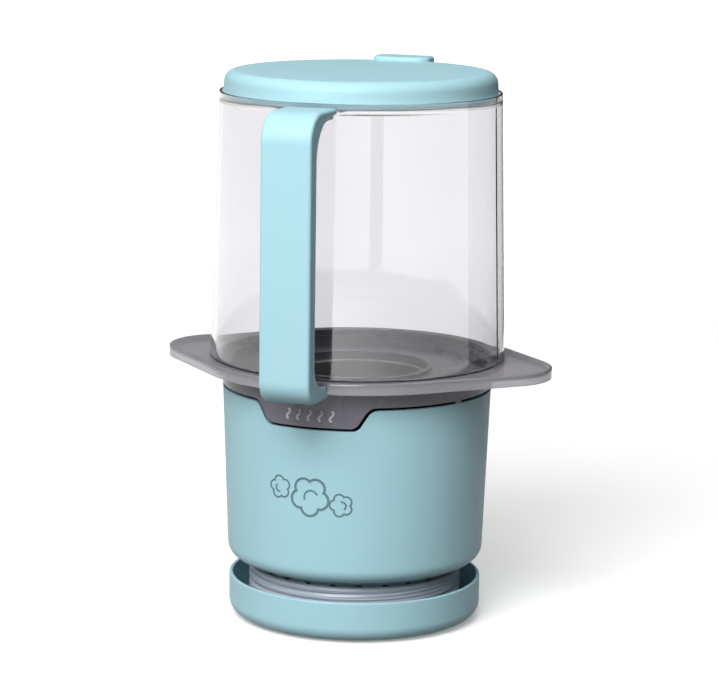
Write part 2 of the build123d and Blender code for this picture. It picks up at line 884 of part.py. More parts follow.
# ---------------------------------------------------------------- lid
# A snap cap with a lift tab at the back. Turned over, it is the cup that measures the corn
with BuildPart() as lid:
    shoulder_z = lid_top_z - lid_shoulder
    with BuildSketch(Plane.XZ):
        with BuildLine():
            Polyline((0, lid_top_z), (0, lid_base_z), (lid_radius, lid_base_z))
            Line((lid_radius, lid_base_z), (lid_top_radius, shoulder_z))
            TangentArc(
                (lid_top_radius, shoulder_z),
                (lid_top_radius - lid_shoulder, lid_top_z),
                tangent=(0, 1),
            )
            Line((lid_top_radius - lid_shoulder, lid_top_z), (0, lid_top_z))
        make_face()
    revolve(axis=Axis.Z)
    with BuildSketch(Plane.XZ):
        with BuildLine():
            inside = lid_top_radius - lid_wall
            bend = lid_shoulder - lid_wall
            Polyline(
                (0, lid_top_z - lid_wall),
                (0, lid_base_z),
                (lid_radius - lid_wall, lid_base_z),
            )
            Line((lid_radius - lid_wall, lid_base_z), (inside, shoulder_z))
            TangentArc(
                (inside, shoulder_z),
                (inside - bend, lid_top_z - lid_wall),
                tangent=(0, 1),
            )
            Line((inside - bend, lid_top_z - lid_wall), (0, lid_top_z - lid_wall))
        make_face()
    revolve(axis=Axis.Z, mode=Mode.SUBTRACT)
    with BuildSketch(Plane.XZ):
        clip_bore = foot_ring_radius + lid_clip_clearance
        band(
            clip_bore,
            clip_bore + lid_clip_wall,
            bowl_top_z + lid_clip_lift,
            lid_top_z - lid_wall / 2,
        )
    revolve(axis=Axis.Z)
    with BuildSketch(Plane.XY.offset(lid_top_z - tab_thickness)):
        with Locations((0, lid_radius + tab_overhang)):
            RectangleRounded(tab_width, 2 * tab_length, tab_corner)
            Rectangle(
                2 * tab_width,
                2 * tab_length,
                align=(Align.CENTER, Align.MIN),
                mode=Mode.SUBTRACT,
            )
        fillet(vertices().group_by(Axis.Y)[-1], tab_end_round)
    extrude(amount=tab_thickness + tab_rise)
    fillet(lid.faces().sort_by(Axis.Z)[-1].edges(), tab_edge_round)
    with BuildSketch(Plane.XZ):
        band(0, lid_top_radius - lid_shoulder, lid_base_z, lid_top_z - lid_wall)
        band(0, clip_bore, lid_base_z, lid_top_z - lid_wall)
    revolve(axis=Axis.Z, mode=Mode.SUBTRACT)
save(lid, "lid")

# ---------------------------------------------------------------- popping chamber
# Spun aluminium cup with a flange on top and slanted louvres that swirl the hot air
with BuildPart() as popping_chamber:
    with BuildSketch(Plane.XZ):
        band(0, chamber_outer, chamber_base_z, chamber_base_z + chamber_wall)
        band(chamber_radius, chamber_outer, chamber_base_z, flange_top_z)
        band(chamber_radius, chamber_outer + chamber_flange, flange_base_z, flange_top_z)
    revolve(axis=Axis.Z)
    louvre_z = chamber_base_z + louvre_lift + louvre_height / 2
    for number in range(louvre_count):
        angle = 360 / louvre_count * number
        with Locations(Location((0, 0, louvre_z), (0, 0, angle))):
            with Locations(Location((chamber_outer, 0, 0), (louvre_slant, 0, 0))):
                Box(louvre_cut, louvre_width, louvre_height, mode=Mode.SUBTRACT)
save(popping_chamber, "popping_chamber")

with BuildPart() as chamber_seal:
    with BuildSketch(Plane.XZ):
        band(throat_bore, chamber_outer + chamber_flange, flange_top_z, deck_base_z)
    revolve(axis=Axis.Z)
save(chamber_seal, "chamber_seal")

with BuildPart() as heat_shield:
    with BuildSketch(Plane.XZ):
        band(heat_shield_bore, heat_shield_outer, fan_top_z, flange_base_z)
    revolve(axis=Axis.Z)
save(heat_shield, "heat_shield")

# Mica boards on a ring, with the heating wire's two turns threaded through them
coil_radius = (chamber_outer + heat_shield_bore) / 2
mica_inner = chamber_outer + mica_gap
mica_outer = heat_shield_bore - mica_gap
coil_heights = [fan_top_z + coil_first_height + coil_pitch * turn for turn in range(coil_count)]
with BuildPart() as heater_frame:
    with BuildSketch(Plane.XY.offset(fan_top_z)):
        Circle(mica_outer)
        Circle(fan_bore + mica_ring_gap, mode=Mode.SUBTRACT)
    extrude(amount=mica_thickness)
    for number in range(mica_count):
        angle = 360 / mica_count * number
        with Locations(Location((0, 0, fan_top_z + mica_height / 2), (0, 0, angle))):
            with Locations(((mica_inner + mica_outer) / 2, 0, 0)):
                Box(mica_outer - mica_inner, mica_thickness, mica_height)
    for height in coil_heights:
        with Locations((0, 0, height)):
            Torus(coil_radius, coil_tube_radius + mica_hole_gap, mode=Mode.SUBTRACT)
save(heater_frame, "heater_frame")

with BuildPart() as heater_coil:
    for height in coil_heights:
        with Locations((0, 0, height)):
            Torus(coil_radius, coil_tube_radius)
save(heater_coil, "heater_coil")

# ---------------------------------------------------------------- fan housing and impeller
bracket_pitch = (fan_inlet_radius + fan_bore) / 2 + bracket_pitch_shift
with BuildPart() as fan_housing:
    with BuildSketch(Plane.XZ):
        band(fan_bore, fan_outer, fan_base_z, fan_top_z)
        band(fan_inlet_radius, fan_bore + fan_wall / 2, fan_floor_z, fan_floor_z + fan_floor)
        band(fan_bore + fan_wall / 2, heat_shield_outer, fan_top_z - fan_wall, fan_top_z)
    revolve(axis=Axis.Z)
    with BuildSketch(Plane.XY.offset(fan_top_z - fan_wall)):
        with PolarLocations(post_pitch, post_count, start_angle=45):
            Circle(post_radius + ear_gap + ear_wall)
        with PolarLocations(0, post_count, start_angle=45):
            Rectangle(
                post_pitch,
                2 * (post_radius + ear_gap),
                align=(Align.MIN, Align.CENTER),
            )
        Circle(fan_outer - fan_wall / 2, mode=Mode.SUBTRACT)
        with PolarLocations(post_pitch, post_count, start_angle=45):
            Circle(post_radius + ear_gap, mode=Mode.SUBTRACT)
    extrude(amount=fan_wall)
    with BuildSketch(Plane.XY.offset(bracket_top_z)):
        with PolarLocations(bracket_pitch, bracket_arms, start_angle=45):
            Circle(small_head + fan_boss_wall)
    extrude(amount=fan_floor_z + fan_floor - bracket_top_z)
    with BuildSketch(Plane.XY.offset(bracket_top_z)):
        with PolarLocations(bracket_pitch, bracket_arms, start_angle=45):
            Circle(small_shank + screw_bite_gap)
    extrude(amount=fan_floor_z + fan_floor - bracket_top_z, mode=Mode.SUBTRACT)
    with BuildSketch(Plane.XY.offset(fan_top_z - fan_wall)):
        with PolarLocations(post_pitch, post_count, start_angle=45):
            Circle(post_radius + ear_gap)
    extrude(amount=fan_wall, mode=Mode.SUBTRACT)
save(fan_housing, "fan_housing")

with BuildPart() as impeller:
    with BuildSketch(Plane.XY.offset(impeller_base_z)):
        Circle(impeller_hub_radius)
    extrude(amount=impeller_height)
    with BuildSketch(Plane.XY.offset(impeller_top_z - impeller_plate)):
        Circle(impeller_radius)
    extrude(amount=impeller_plate)
    with BuildSketch(Plane.XY.offset(impeller_base_z)):
        blade_start = impeller_hub_radius + blade_root_gap
        blade_end = impeller_radius - blade_tip_gap
        middle = (blade_start + blade_end) / 2
        lean = radians(blade_lean)
        bow = lean * blade_bow
        for number in range(impeller_blades):
            turn = radians(360 / impeller_blades * number)
            with BuildLine():
                ThreePointArc(
                    (blade_start * cos(turn), blade_start * sin(turn)),
                    (middle * cos(turn + bow), middle * sin(turn + bow)),
                    (blade_end * cos(turn + lean), blade_end * sin(turn + lean)),
                )
                offset(amount=impeller_blade / 2, side=Side.BOTH)
            make_face()
    extrude(amount=impeller_height - impeller_plate / 2)
    with BuildSketch(Plane.XY.offset(impeller_base_z)):
        Circle(shaft_radius + snug_gap)
    extrude(amount=impeller_height, mode=Mode.SUBTRACT)
save(impeller, "impeller")

# ---------------------------------------------------------------- motor
with BuildPart() as motor_bracket:
    with BuildSketch(Plane.XY.offset(bracket_base_z)):
        Circle(bracket_disc_radius)
        with PolarLocations(0, bracket_arms, start_angle=45):
            Rectangle(
                fan_bore - bracket_gap,
                bracket_arm_width,
                align=(Align.MIN, Align.CENTER),
            )
        Circle(fan_bore - bracket_gap, mode=Mode.INTERSECT)
        Circle(bush_radius + bracket_bush_gap, mode=Mode.SUBTRACT)
        with PolarLocations(bracket_pitch, bracket_arms, start_angle=45):
            Circle(small_shank + screw_hole_gap, mode=Mode.SUBTRACT)
        with PolarLocations(motor_screw_pitch, 2):
            Circle(small_shank + screw_hole_gap, mode=Mode.SUBTRACT)
    extrude(amount=bracket_thickness)
save(motor_bracket, "motor_bracket")

with BuildPart() as motor_can:
    with BuildSketch(Plane.XZ):
        band(motor_radius - motor_wall, motor_radius, motor_base_z, bracket_base_z)
        band(bush_radius + snug_gap, motor_radius, bracket_base_z - motor_wall, bracket_base_z)
    revolve(axis=Axis.Z)
    with BuildSketch(Plane.XY.offset(bracket_base_z - 2 * motor_wall)):
        with PolarLocations(motor_screw_pitch, 2):
            Circle(small_shank + screw_bite_gap)
    extrude(amount=2 * motor_wall, mode=Mode.SUBTRACT)
save(motor_can, "motor_can")

with BuildPart() as motor_end_cap:
    with BuildSketch(Plane.XZ):
        band(bush_radius + snug_gap, motor_radius, motor_cap_z, motor_base_z)
    revolve(axis=Axis.Z)
save(motor_end_cap, "motor_end_cap")

with BuildPart() as motor_bushes:
    with BuildSketch(Plane.XZ):
        bush_bore = shaft_radius + shaft_running_gap
        band(bush_bore, bush_radius, motor_cap_z, motor_cap_z + bush_length)
        band(bush_bore, bush_radius, bracket_base_z - bush_length, bracket_base_z)
    revolve(axis=Axis.Z)
save(motor_bushes, "motor_bushes")

magnet_outer = motor_radius - motor_wall - snug_gap
magnet_inner = magnet_outer - magnet_thickness
rotor_low_z = motor_base_z + motor_length * rotor_low_share
rotor_high_z = motor_base_z + motor_length * rotor_high_share
with BuildPart() as motor_magnets:
    with BuildSketch(Plane.XY.offset(rotor_low_z)):
        Circle(magnet_outer)
        Circle(magnet_inner, mode=Mode.SUBTRACT)
        Rectangle(2 * motor_radius, magnet_slit, mode=Mode.SUBTRACT)
    extrude(amount=rotor_high_z - rotor_low_z)
save(motor_magnets, "motor_magnets")

with BuildPart() as motor_shaft:
    with BuildSketch(Plane.XY.offset(motor_cap_z - shaft_tail)):
        Circle(shaft_radius)
    extrude(amount=impeller_top_z - motor_cap_z + shaft_tail)
save(motor_shaft, "motor_shaft")

with BuildPart() as motor_rotor:
    with BuildSketch(Plane.XZ):
        rotor_bore = shaft_radius + snug_gap
        band(rotor_bore, magnet_inner - rotor_gap, rotor_low_z, rotor_high_z)
        band(rotor_bore, commutator_radius, rotor_low_z - commutator_length, rotor_low_z)
    revolve(axis=Axis.Z)
save(motor_rotor, "motor_rotor")

# ---------------------------------------------------------------- controls and wiring
with BuildPart() as thermostat:
    with BuildSketch(Plane.YZ.offset(heat_shield_outer + thermostat_gap)):
        with Locations((0, thermostat_z)):
            Circle(thermostat_radius)
    extrude(amount=thermostat_depth)
save(thermostat, "thermostat")

fuse_angle = radians(fuse_turn)
fuse_reach = heat_shield_outer + fuse_radius + fuse_gap
with BuildPart() as thermal_fuse:
    with BuildSketch(Plane.XY.offset(thermostat_z - fuse_length / 2)):
        with Locations((fuse_reach * cos(fuse_angle), fuse_reach * sin(fuse_angle))):
            Circle(fuse_radius)
    extrude(amount=fuse_length)
    chamfer(thermal_fuse.edges().filter_by(GeomType.CIRCLE), fuse_chamfer)
save(thermal_fuse, "thermal_fuse")

board_z = motor_base_z + board_lift
board_bore = motor_radius + board_gap
with BuildPart() as rectifier_board:
    with BuildSketch(Plane.XZ):
        band(board_bore, board_bore + board_width, board_z, board_z + board_thickness)
    revolve(axis=Axis.Z)
save(rectifier_board, "rectifier_board")

with BuildPart() as diodes:
    diode_z = board_z + board_thickness + diode_radius + diode_gap
    for number in range(diode_count):
        angle = 45 + 360 / diode_count * number
        with Locations(Location((0, 0, diode_z), (0, 0, angle))):
            with Locations(Location((board_bore + board_width / 2, 0, 0), (90, 0, 0))):
                Cylinder(diode_radius, diode_length)
save(diodes, "diodes")

# Two leads rise from the boot inside the hub to the board and the thermostat. They pass through
# the first and second slots of the grille.
thermostat_face = heat_shield_outer + thermostat_gap + thermostat_depth
board_outer = board_bore + board_width
lead_radius = board_outer + wire_pass
slot_one = radians(360 / grille_slots)
slot_two = 2 * slot_one
land_angle = radians(wire_land_angle)
lead_one = (lead_radius * cos(slot_one), lead_radius * sin(slot_one))
lead_two = (lead_radius * cos(slot_two), lead_radius * sin(slot_two))
lead_end_x = (board_outer + wire_land) * cos(land_angle)
lead_end_y = (board_outer + wire_land) * sin(land_angle)
lead_routes = [
    [
        (grommet_x + 1.6, hub_flat_y - 6.0, grommet_z),
        (29.0, 12.0, 16.0),
        (*lead_one, 26.0),
        (*lead_one, 42.0),
        (34.0, 8.0, 54.0),
        (47.0, 7.0, 62.0),
        (55.0, 4.0, 82.0),
        (54.0, 3.0, 97.0),
        (thermostat_face + 0.9, 2.0, 98.0),
    ],
    [
        (grommet_x - 1.6, hub_flat_y - 6.0, grommet_z),
        (25.0, 18.5, 15.0),
        (*lead_two, 24.0),
        (*lead_two, 38.0),
        (lead_end_x, lead_end_y, board_z + board_thickness / 2),
    ],
]
with BuildPart() as lead_wires:
    for route in lead_routes:
        with BuildLine() as lead_path:
            FilletPolyline(*route, radius=wire_bend)
        with BuildSketch(Plane(lead_path.line @ 0, z_dir=lead_path.line % 0)):
            Circle(wire_radius)
        sweep(path=lead_path.line)
save(lead_wires, "lead_wires")

# ---------------------------------------------------------------- screws
def screws(spots, head_z, tip_z, shank, head, head_height):
    """Pan-head screws standing at each (x, y), heads below, as one piece of separate solids."""
    with BuildPart() as group:
        with BuildSketch(Plane.XY.offset(head_z)):
            with Locations(*spots):
                Circle(head)
        extrude(amount=head_height)
        fillet(group.edges().group_by(Axis.Z)[0], head_height * screw_round_share)
        with BuildSketch(Plane.XY.offset(head_z)):
            with Locations(*spots):
                Circle(shank)
        extrude(amount=tip_z - head_z)
    return group


def ring_spots(radius, count, start):
    """Points evenly round a circle, the first at start degrees."""
    angles = [radians(start + 360 / count * number) for number in range(count)]
    return [(radius * cos(angle), radius * sin(angle)) for angle in angles]


case_seat_z = body_base_z + screw_head_height + head_recess
case_screws = screws(
    ring_spots(post_pitch, post_count, 45),
    case_seat_z - screw_head_height,
    post_base_z + case_screw_bite,
    screw_shank,
    screw_head,
    screw_head_height,
)
save(case_screws, "case_screws")

hub_seat_z = dish_base_z + screw_head_height - screw_proud
hub_screws = screws(
    hub_post_spots,
    hub_seat_z - screw_head_height,
    cover_top_z + hub_screw_bite,
    screw_shank,
    screw_head,
    screw_head_height,
)
save(hub_screws, "hub_screws")

bracket_screws = screws(
    ring_spots(bracket_pitch, bracket_arms, 45),
    bracket_base_z - screw_head_height,
    fan_floor_z + fan_floor - screw_tip_gap,
    small_shank,
    small_head,
    screw_head_height,
)
save(bracket_screws, "bracket_screws")

with BuildPart() as motor_screws:
    with BuildSketch(Plane.XY.offset(bracket_top_z)):
        with PolarLocations(motor_screw_pitch, 2):
            Circle(motor_screw_head)
    extrude(amount=motor_screw_head_height)
    with BuildSketch(Plane.XY.offset(bracket_base_z - motor_wall)):
        with PolarLocations(motor_screw_pitch, 2):
            Circle(small_shank)
    extrude(amount=motor_wall + bracket_thickness + motor_screw_head_height / 2)
save(motor_screws, "motor_screws")
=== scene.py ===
# %% [markdown]
# # A personal hot-air popcorn maker
#
# The engineering model is loaded first and stays as it is: every real part already has its place
# and size. This lesson gives those parts their surfaces, adds what only the eye needs, and sets up
# a small studio. All lengths are metres, with the table at zero height.

import bpy
import numpy as np
from math import cos, pi, radians, sin
from mathutils import Matrix, Vector
import json


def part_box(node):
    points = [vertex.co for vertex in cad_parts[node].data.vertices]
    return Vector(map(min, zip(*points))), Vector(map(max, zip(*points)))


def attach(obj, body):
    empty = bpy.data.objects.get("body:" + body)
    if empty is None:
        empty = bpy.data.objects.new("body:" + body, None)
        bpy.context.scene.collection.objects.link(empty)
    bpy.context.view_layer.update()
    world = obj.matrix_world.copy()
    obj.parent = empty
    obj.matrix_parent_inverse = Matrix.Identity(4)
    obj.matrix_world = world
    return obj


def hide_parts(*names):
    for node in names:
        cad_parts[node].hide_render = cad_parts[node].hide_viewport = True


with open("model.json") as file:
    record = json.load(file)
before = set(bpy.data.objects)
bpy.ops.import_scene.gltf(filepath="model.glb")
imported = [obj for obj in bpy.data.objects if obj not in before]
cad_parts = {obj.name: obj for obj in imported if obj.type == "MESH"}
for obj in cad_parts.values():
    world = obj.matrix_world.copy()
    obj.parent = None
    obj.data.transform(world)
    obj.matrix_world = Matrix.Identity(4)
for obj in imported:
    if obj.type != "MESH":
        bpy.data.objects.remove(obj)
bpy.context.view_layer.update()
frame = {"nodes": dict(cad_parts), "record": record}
nodes = frame["nodes"]
MM = 0.001
print("frame loaded:", len(nodes), "nodes")

# %% [markdown]
# ## Camera
#
# A long lens from a little above the lid keeps the bowl's sides nearly upright, the way a product
# is shown in a catalogue. The camera stands 21 degrees round to the right of the handle, which
# faces -Y, and looks down by half as much. It is also 39 mm to the left of the line to the middle
# and looks along that line, not across to the middle. A shift of the lens, mostly sideways and a
# little upwards, frames the object instead, so upright edges keep their slant. The camera is
# turned by its own three directions instead of by Euler angles, because a small roll is easier to
# see that way.

# %% Camera
camera_turn = radians(21.3)
camera_pitch = radians(10.65)
camera_roll = radians(0.5)
camera_distance = 1.4035
camera_side = -0.0393
camera_height = 0.3968
lens_mm = 144.8
frame_shift = 0.113
frame_lift = 0.004

camera_data = bpy.data.cameras.new("studio_camera")
camera_data.lens = lens_mm
camera_data.sensor_width = 36.0
camera_data.shift_x = frame_shift
camera_data.shift_y = frame_lift
camera = bpy.data.objects.new("studio_camera", camera_data)
bpy.context.scene.collection.objects.link(camera)
bpy.context.scene.camera = camera

ahead = Vector(
    (
        -sin(camera_turn) * cos(camera_pitch),
        cos(camera_turn) * cos(camera_pitch),
        -sin(camera_pitch),
    )
)
level_right = Vector((cos(camera_turn), sin(camera_turn), 0))
level_up = level_right.cross(ahead)
right = level_right * cos(camera_roll) + level_up * sin(camera_roll)
up = level_up * cos(camera_roll) - level_right * sin(camera_roll)
turned = Matrix((right, up, -ahead)).transposed().to_4x4()
straight_back = Vector((sin(camera_turn), -cos(camera_turn), 0))
place = straight_back * camera_distance + level_right * camera_side + Vector((0, 0, camera_height))
camera.matrix_world = Matrix.Translation(place) @ turned
print("camera at", tuple(round(c, 3) for c in place))

# %% [markdown]
# ## Helpers for surfaces and materials
#
# A surface here is a tube: rings of points worked out at once as an array, with neighbours joined
# by four-sided faces. For materials, one function adds a node with its settings and links, and
# one turns a printed colour into the linear values that a shader needs.

# %% Surface helpers
# Edges that turn by more than this are drawn sharp, and the rest are shaded smooth
sharp_angle = radians(40)


def tube_faces(rows, columns, closed, first):
    """Faces of a tube of rows x columns corners numbered from first, with each column ring joined
    to itself. A closed tube meets its own start, and an open one gets a flat cap at both ends."""
    index = first + np.arange(rows * columns).reshape(rows, columns)
    here = index if closed else index[:-1]
    after = np.roll(index, -1, axis=0)[: len(here)]
    corners = [here, after, np.roll(after, -1, axis=1), np.roll(here, -1, axis=1)]
    faces = np.stack(corners, axis=-1).reshape(-1, 4).tolist()
    if not closed:
        faces += [index[0].tolist(), index[-1][::-1].tolist()]
    return faces


def tubes_piece(name, tubes):
    """One object from a list of (points, closed), where points is an (n, m, 3) array of rings."""
    faces, corners = [], []
    for points, closed in tubes:
        faces += tube_faces(*points.shape[:2], closed, sum(map(len, corners)))
        corners.append(points.reshape(-1, 3))
    mesh = bpy.data.meshes.new(name)
    mesh.from_pydata(np.vstack(corners), [], faces)
    mesh.polygons.foreach_set("use_smooth", np.ones(len(mesh.polygons), dtype=bool))
    mesh.set_sharp_from_angle(angle=sharp_angle)
    piece = bpy.data.objects.new(name, mesh)
    bpy.context.scene.collection.objects.link(piece)
    print(name, "has", len(mesh.polygons), "faces")
    return piece


def add_node(tree, kind, links=(), **settings):
    """Add a node. settings go to its attributes or input sockets, links are (socket, output)."""
    node = tree.nodes.new(kind)
    for name, value in settings.items():
        socket = name.replace("_", " ")
        if hasattr(node, name):
            setattr(node, name, value)
        else:
            node.inputs[socket].default_value = value
    for socket, output in links:
        tree.links.new(output, node.inputs[socket])
    return node


def linear(hex_colour):
    """Linear RGBA from an sRGB hex colour: value / 12.92 up to 0.04045, and above it
    ((value + 0.055) / 1.055) ** 2.4."""
    values = np.array([int(hex_colour[i : i + 2], 16) for i in (1, 3, 5)]) / 255
    low = values / 12.92
    high = ((values + 0.055) / 1.055) ** 2.4
    return (*np.where(values <= 0.04045, low, high).tolist(), 1.0)


# %% [markdown]
# ## Moulded, rolled and spun finishes
#
# Most of the machine is injection moulded, so one recipe serves: a base colour that drifts a
# little where the melt cooled unevenly, a roughness that drifts with it, and a fine grain. The
# grain of a spark-eroded mould is about 0.3 mm, finer than shows, so it is drawn at 0.6 mm.
# Rolled sheet is the same recipe with its grain drawn out twelve times along one direction. Spun
# metal keeps the tool's rings, about 0.4 mm apart, which are drawn at 1.2 mm so that they show.

# %% Finishes
relief_depth = 0.02 * MM
relief_strength = 0.25
# Patches of colour about 1 / 28 m across, 36 mm, and how far roughness drifts with them
drift_scale = 28.0
drift_in_roughness = 0.05
# A wave texture repeats every pi / 10 at a scale of 1
wave_period = pi / 10
ring_waver = 0.6
chamber_low, chamber_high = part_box("popping_chamber")
ring_centre_z = (chamber_low[2] + chamber_high[2]) / 2


def finish(name, colour, shade, roughness, pattern="grain", pattern_mm=0.6, drawn=1, **shader):
    """A finish: colour drifting to shade, roughness drifting with it, and a fine raised pattern.
    The pattern is grain of the given size, drawn out along z, or rings round the chamber's
    middle that far apart."""
    material = bpy.data.materials.new(name)
    material.use_nodes = True
    tree = material.node_tree
    tree.nodes.clear()
    place = add_node(tree, "ShaderNodeTexCoord").outputs["Object"]
    drift = add_node(
        tree, "ShaderNodeTexNoise", [("Vector", place)], Scale=drift_scale, Detail=3.0
    ).outputs["Fac"]
    tint = add_node(tree, "ShaderNodeMix", [("Factor", drift)], data_type="RGBA")
    tint.inputs[6].default_value = linear(colour)
    tint.inputs[7].default_value = linear(shade)
    rough = add_node(
        tree,
        "ShaderNodeMapRange",
        [("Value", drift)],
        To_Min=roughness - drift_in_roughness,
        To_Max=roughness + drift_in_roughness,
    )
    placed = add_node(tree, "ShaderNodeMapping", [("Vector", place)])
    if pattern == "rings":
        placed.inputs["Location"].default_value = (0, 0, -ring_centre_z)
        relief = add_node(
            tree,
            "ShaderNodeTexWave",
            [("Vector", placed.outputs["Vector"])],
            wave_type="RINGS",
            rings_direction="SPHERICAL",
            Scale=wave_period / (pattern_mm * MM),
            Distortion=ring_waver,
        )
    else:
        placed.inputs["Scale"].default_value = (1, 1, 1 / drawn)
        relief = add_node(
            tree,
            "ShaderNodeTexNoise",
            [("Vector", placed.outputs["Vector"])],
            Scale=1.0 / (pattern_mm * MM),
            Detail=2.0,
        )
    raised = add_node(
        tree,
        "ShaderNodeBump",
        [("Height", relief.outputs["Fac"])],
        Strength=relief_strength,
        Distance=relief_depth,
    )
    surface = add_node(
        tree,
        "ShaderNodeBsdfPrincipled",
        [
            ("Base Color", tint.outputs[2]),
            ("Roughness", rough.outputs["Result"]),
            ("Normal", raised.outputs["Normal"]),
        ],
        **shader,
    )
    add_node(tree, "ShaderNodeOutputMaterial", [("Surface", surface.outputs["BSDF"])])
    return material


# Polypropylene in a light aqua, satin: soft wide highlights and no sharp reflection
aqua = finish("satin_aqua_polypropylene", "#a3cbd4", "#9dc7d1", 0.48, Specular_IOR_Level=0.32)
# Nylon in a cool smoke grey, a little glossier than the aqua casing
smoke = finish("smoke_nylon", "#625e6a", "#5a5762", 0.28)
# Phenolic near the heater: almost black and matt
phenolic = finish("black_phenolic", "#1d1f21", "#25272a", 0.55)
# Rubber pads: black, with a dusty sheen
rubber = finish("pad_rubber", "#17181a", "#1e1f21", 0.8, Sheen_Weight=0.2)
# Soft vinyl jacket on the cord, cool light grey
vinyl = finish("cord_vinyl", "#b2bcc8", "#a7b1bd", 0.3)
# Silicone for seals and sleeves, cloudy and dull
silicone = finish("silicone_rubber", "#b9b4aa", "#b0aba1", 0.6)
# Mica board carries flakes about 2 mm across, between two tans
mica = finish("pressed_mica", "#b8a780", "#a4946f", 0.5, pattern_mm=2.0)
# Glass-epoxy board, green solder mask
board = finish("solder_mask_board", "#2e5a39", "#274d31", 0.4)
# Spun aluminium keeps rings from the tool, on its wall and on its floor
aluminium = finish("spun_aluminium", "#c9c9cb", "#bdbdc0", 0.3, "rings", 1.2, Metallic=1.0)
# Rolled steel sheet, with fine lines along the way that it was rolled
steel = finish("rolled_steel", "#9fa1a5", "#92949a", 0.38, drawn=12, Metallic=1.0)
# Zinc plate on the screws, bright and slightly crystalline
zinc = finish("zinc_plate", "#b9bbb9", "#adb0ae", 0.3, Metallic=1.0)
# Resistance wire, darkened by its heat
nichrome = finish("oxidised_nichrome", "#5d5650", "#6b6058", 0.5, Metallic=1.0)
# Stamped brass plug blades
brass = finish("stamped_brass", "#c6a25c", "#b89450", 0.28, drawn=12, Metallic=1.0)
# Ferrite magnets and laminated iron, dull and dark
iron = finish("sintered_ferrite", "#3c3c3f", "#46464a", 0.6)


# %% [markdown]
# ## Clear plastics
#
# The bowl is moulded in clear polycarbonate, whose index is 1.585. Its wall is a true shell with
# two faces, so light bends in and straightens on its way out, as in the real one, and the rounded
# edges gather a bright line. The rim is the same plastic with a smoke dye, which tints light at
# each surface that it crosses, and it is a little cloudy: a share of the light scatters instead of
# passing through.

# %% Clear plastics
polycarbonate_ior = 1.585
# Smears about 1 / 18 m across, 56 mm, where roughness goes up and down by a third
haze_scale = 18.0
haze_share = 0.33


def polycarbonate(name, colour, roughness, clearness):
    """Polished polycarbonate. Roughness drifts by haze_share from place to place, as handling
    leaves it, and clearness is the share of light that passes straight through."""
    material = bpy.data.materials.new(name)
    material.use_nodes = True
    tree = material.node_tree
    tree.nodes.clear()
    place = add_node(tree, "ShaderNodeTexCoord").outputs["Object"]
    haze = add_node(tree, "ShaderNodeTexNoise", [("Vector", place)], Scale=haze_scale, Detail=2.0)
    rough = add_node(
        tree,
        "ShaderNodeMapRange",
        [("Value", haze.outputs["Fac"])],
        To_Min=roughness * (1 - haze_share),
        To_Max=roughness * (1 + haze_share),
    )
    surface = add_node(
        tree,
        "ShaderNodeBsdfPrincipled",
        [("Roughness", rough.outputs["Result"])],
        Base_Color=linear(colour),
        IOR=polycarbonate_ior,
        Transmission_Weight=clearness,
    )
    add_node(tree, "ShaderNodeOutputMaterial", [("Surface", surface.outputs["BSDF"])])
    return material


clear = polycarbonate("clear_polycarbonate", "#ebeaec", 0.03, 1.0)
smoke_clear = polycarbonate("smoke_polycarbonate", "#b4b1b8", 0.05, 0.62)

# %% [markdown]
# ## Giving each part its finish
#
# The record names a slot for every part. A table from slot to material dresses all the parts in
# one loop.

# %% Dress the parts
finishes = {
    "aqua_plastic": aqua,
    "clear_plastic": clear,
    "smoke_clear_plastic": smoke_clear,
    "smoke_plastic": smoke,
    "dark_plastic": phenolic,
    "soft_rubber": rubber,
    "cord_vinyl": vinyl,
    "chamber_aluminium": aluminium,
    "steel_sheet": steel,
    "screw_steel": zinc,
    "mica": mica,
    "heating_wire": nichrome,
    "silicone": silicone,
    "brass": brass,
    "magnet": iron,
    "rotor_steel": iron,
    "board": board,
}
for part in frame["record"]["subparts"]:
    piece = nodes[part["node"]]
    piece.data.materials.clear()
    piece.data.materials.append(finishes[part["material_slot"]])

# %% [markdown]
# ## The stowed cord
#
# A flat twin lead is two round cores side by side in one soft jacket, so its section is a figure
# of eight standing on edge. It comes out of its strain relief, goes round the hub in just under
# three stacked turns, each one cord width above the last, and its end runs down inside the stack
# to the plug. The route is a smooth spline, and the section is carried along it with its long side
# always upright.

# %% Cord route
core_radius = 1.85 * MM
cord_width = 7.4 * MM
turn_pitch = 7.5 * MM
turn_points = 24
wind_start = radians(64)
wind_end = radians(360 * 3 + 13)
levels_climbed = 2
dish_gap = 0.05 * MM
coil_low, coil_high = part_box("cord_coil")
coil_radius = coil_high[0] - core_radius
first_z = coil_low[2] + cord_width / 2 + dish_gap
# The spline touches the middle of each side of its polygon, so the corners stand further out
hull_radius = coil_radius / cos(pi / turn_points)

wind_count = int(round((wind_end - wind_start) / (2 * pi / turn_points)))
turns = np.linspace(wind_start, wind_end, wind_count + 1)
rise = np.clip((turns - wind_start) / (2 * pi), 0, levels_climbed)
winding = np.stack(
    [hull_radius * np.cos(turns), hull_radius * np.sin(turns), first_z + turn_pitch * rise], axis=1
)
grommet_low, grommet_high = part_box("cord_grommet")
grommet_z = (grommet_low[2] + grommet_high[2]) / 2
# From the hole of the strain relief, out and down to the first turn
lead_in = [
    (0.0302, 0.0352, grommet_z),
    (0.0300, 0.0401, grommet_z - 0.3 * MM),
    (0.0270, 0.0436, first_z + 0.4 * MM),
]
stack_z = first_z + turn_pitch * levels_climbed
plug_low, plug_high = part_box("cord_plug")
boot_x = plug_high[0]
boot_y = (plug_low[1] + plug_high[1]) / 2
boot_z = (plug_low[2] + plug_high[2]) / 2
